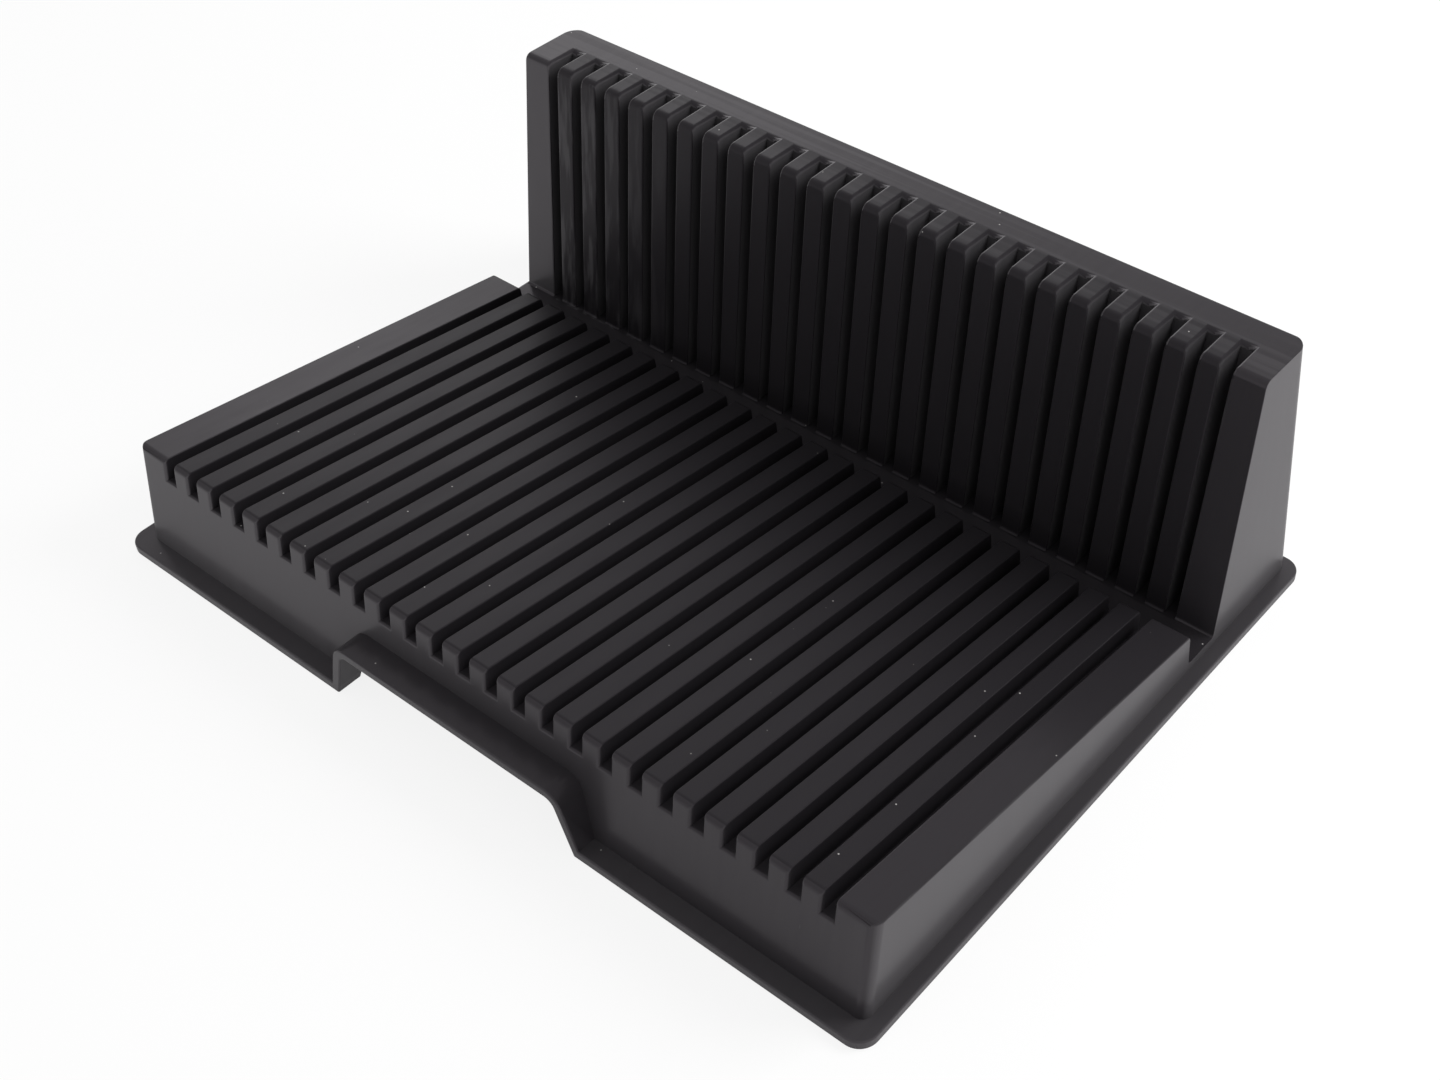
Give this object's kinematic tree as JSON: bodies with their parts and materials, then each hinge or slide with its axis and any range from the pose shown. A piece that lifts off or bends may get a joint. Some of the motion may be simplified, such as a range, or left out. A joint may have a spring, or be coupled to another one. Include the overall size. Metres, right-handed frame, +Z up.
{
  "type": "slotted circuit board rack",
  "caption": "L-shaped one-piece rack in black conductive plastic: a tilted slotted floor and a leaning slotted wall hold circuit boards upright on edge.",
  "frame": {"origin": "centre of the footprint on the table, under the flange", "axes": "+X along the width across the slots, +Y from the open front to the wall, +Z up"},
  "size_m": [0.2714, 0.201, 0.086],
  "materials": {
    "conductive_plastic": "black carbon-filled plastic with a fine satin texture"
  },
  "bodies": {
    "root": {"rack_body": "conductive_plastic"}
  },
  "joints": []
}
